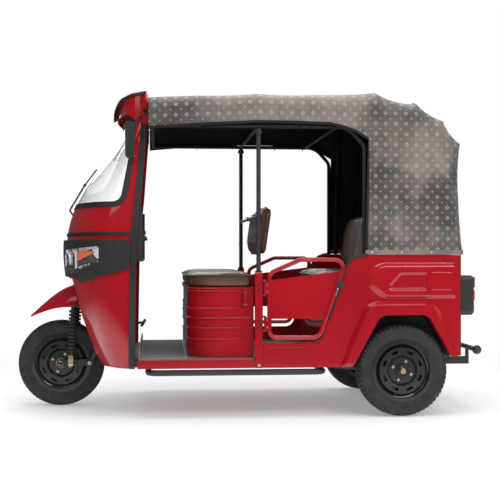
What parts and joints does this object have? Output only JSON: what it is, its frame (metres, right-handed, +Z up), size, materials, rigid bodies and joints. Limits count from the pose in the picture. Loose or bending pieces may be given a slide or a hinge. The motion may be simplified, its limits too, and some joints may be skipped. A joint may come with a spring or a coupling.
{
  "type": "auto rickshaw",
  "caption": "Small open-sided passenger vehicle with a steered front wheel, driver's cab, rear bench behind low doors, and a fabric canopy on hoops.",
  "frame": {"origin": "on the ground, under the middle of the overall length and width", "axes": "+X from nose to tail, +Y to the vehicle's right side, +Z up"},
  "size_m": [2.5649, 1.3106, 1.76],
  "materials": {
    "paint": "glossy red paint",
    "black_paint": "black paint, semi-gloss",
    "black_plastic": "dark grey moulded plastic",
    "rubber": "black rubber",
    "tyre": "black tyre rubber",
    "steel": "bare steel",
    "glass": "clear",
    "lamp": "clear lamp lens",
    "lamp_red": "red lamp lens in a black case",
    "leather": "brown leathercloth",
    "canvas": "taupe canvas with pale motifs outside, black inside",
    "iron": "cast metal"
  },
  "bodies": {
    "vehicle": {"front_cowl": "paint", "windshield": "glass", "windshield_seal": "rubber", "cowl_trim": "rubber", "headlamp_panel": "black_plastic", "headlamps": "lamp", "roof_peak": "paint", "visor": "black_plastic", "chassis_frame": "black_paint", "steering_head": "black_paint", "floor_pan": "paint", "floor_mat": "rubber", "bulkhead": "black_paint", "dash": "black_plastic", "seat_base": "paint", "partition_posts": "paint", "partition_poles": "black_paint", "driver_backrest": "leather", "tub_side_left": "paint", "tub_side_right": "paint", "wheel_housings": "black_paint", "rear_panel": "paint", "rear_seat_plinth": "paint", "rear_cushion": "leather", "rear_backrest": "leather", "hinge_pins": "steel", "canopy": "canvas", "hood_frame": "black_paint", "tail_lamps": "lamp_red", "rear_bumper": "black_paint", "foot_tubes": "black_paint", "rear_arms": "black_paint", "rear_dampers": "black_paint", "engine": "iron", "mirrors": "black_plastic", "wiper": "black_paint", "brake_pedal": "black_paint"},
    "fork": {"fork": "black_paint", "front_links": "black_paint", "front_shocks": "rubber", "front_fender": "paint", "handlebar": "black_plastic"},
    "front_wheel": {"front_tyre": "tyre", "front_rim": "black_paint"},
    "rear_wheel_left": {"rear_tyre_left": "tyre", "rear_rim_left": "black_paint"},
    "rear_wheel_right": {"rear_tyre_right": "tyre", "rear_rim_right": "black_paint"},
    "door_left": {"door_left": "paint", "door_catch_left": "black_plastic"},
    "door_right": {"door_right": "paint", "door_catch_right": "black_plastic"},
    "driver_seat": {"driver_cushion": "leather"},
    "engine_lid": {"engine_lid": "paint"}
  },
  "joints": [
    {"name": "steering", "type": "hinge", "parent": "vehicle", "child": "fork", "pos_m": [-0.9255, 0, 0.56], "axis": [0.3746, 0, 0.9272], "range_deg": [-40, 40]},
    {"name": "front_wheel_spin", "type": "hinge", "parent": "fork", "child": "front_wheel", "pos_m": [-1.0375, 0, 0.245], "axis": [0, 1, 0], "continuous": true},
    {"name": "rear_wheel_left_spin", "type": "hinge", "parent": "vehicle", "child": "rear_wheel_left", "pos_m": [0.8165, -0.57, 0.245], "axis": [0, 1, 0], "continuous": true},
    {"name": "rear_wheel_right_spin", "type": "hinge", "parent": "vehicle", "child": "rear_wheel_right", "pos_m": [0.8165, 0.57, 0.245], "axis": [0, 1, 0], "continuous": true},
    {"name": "door_left_hinge", "type": "hinge", "parent": "vehicle", "child": "door_left", "pos_m": [0.0765, -0.633, 0.6], "axis": [0, 0, -1], "range_deg": [0, 85]},
    {"name": "door_right_hinge", "type": "hinge", "parent": "vehicle", "child": "door_right", "pos_m": [0.0765, 0.633, 0.6], "axis": [0, 0, 1], "range_deg": [0, 85]},
    {"name": "driver_seat_lift", "type": "hinge", "parent": "vehicle", "child": "driver_seat", "pos_m": [-0.3405, 0, 0.6943], "axis": [0, -1, 0], "range_deg": [0, 75]},
    {"name": "engine_lid_lift", "type": "hinge", "parent": "vehicle", "child": "engine_lid", "pos_m": [1.1515, 0, 0.605], "axis": [0, -1, 0], "range_deg": [0, 80]}
  ]
}
